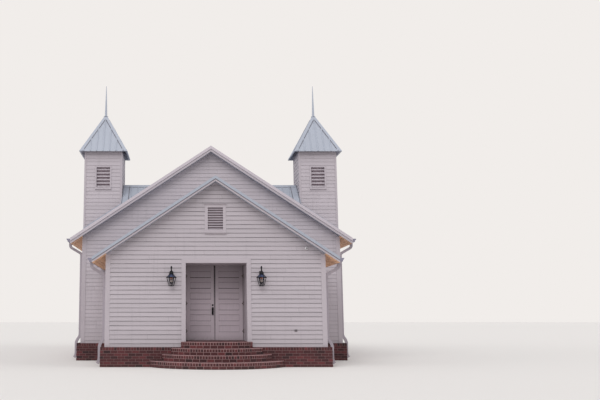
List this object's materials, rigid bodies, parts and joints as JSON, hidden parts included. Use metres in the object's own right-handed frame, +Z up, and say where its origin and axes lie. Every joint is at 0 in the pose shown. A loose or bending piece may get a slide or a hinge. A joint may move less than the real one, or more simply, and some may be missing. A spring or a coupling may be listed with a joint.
{
  "type": "small chapel",
  "caption": "Small white timber chapel with a gabled porch, recessed double doors, curved brick steps and louvred corner towers with metal spires.",
  "frame": {"origin": "on the ground in the middle of the porch, under the outer face of its front wall", "axes": "+X to the right as one faces the doors, +Y towards the back of the building, +Z up"},
  "size_m": [10.01, 19.1598, 9.905],
  "materials": {
    "black_iron": "satin",
    "brick": "matte",
    "clear_glass": "gloss",
    "dark_plastic": "matte",
    "floor_boards": "satin",
    "hinge_metal": "satin",
    "painted_wood": "satin",
    "roof_metal": "satin",
    "spout_metal": "satin",
    "white_plastic": "matte"
  },
  "bodies": {
    "chapel": {"brick_steps": "brick", "corner_boards": "painted_wood", "door_frame": "painted_wood", "downspouts": "spout_metal", "entrance_casing": "painted_wood", "finials": "roof_metal", "frame_hinges": "hinge_metal", "gutters": "spout_metal", "lantern_glass": "clear_glass", "lanterns": "black_iron", "main_back_wall": "painted_wood", "main_floor": "floor_boards", "main_front_walls": "painted_wood", "main_gable_wall": "painted_wood", "main_plinth": "brick", "main_roof_left": "roof_metal", "main_roof_right": "roof_metal", "main_side_walls": "painted_wood", "outlet_cover": "dark_plastic", "porch_floor": "floor_boards", "porch_front_walls": "painted_wood", "porch_gable_wall": "painted_wood", "porch_louver": "painted_wood", "porch_plinth": "brick", "porch_roof_left": "roof_metal", "porch_roof_right": "roof_metal", "porch_side_walls": "painted_wood", "rake_boards": "painted_wood", "recess_floor": "brick", "recess_lining": "painted_wood", "roof_trim": "roof_metal", "saddle_roof_trim": "roof_metal", "saddle_roofs": "roof_metal", "tower_hip_caps": "roof_metal", "tower_louvers": "painted_wood", "tower_roofs": "roof_metal", "tower_walls": "painted_wood", "wall_camera": "white_plastic"},
    "left_door": {"door_left": "painted_wood", "door_left_hinges": "hinge_metal", "door_handle": "black_iron"},
    "right_door": {"door_right": "painted_wood", "door_right_hinges": "hinge_metal"}
  },
  "joints": [
    {"name": "left_door_swing", "type": "hinge", "parent": "chapel", "child": "left_door", "pos_m": [-0.879, 1.186, 0.752], "axis": [0, 0, -1], "range_deg": [0, 80]},
    {"name": "right_door_swing", "type": "hinge", "parent": "chapel", "child": "right_door", "pos_m": [0.909, 1.186, 0.752], "axis": [0, 0, 1], "range_deg": [0, 80]}
  ]
}
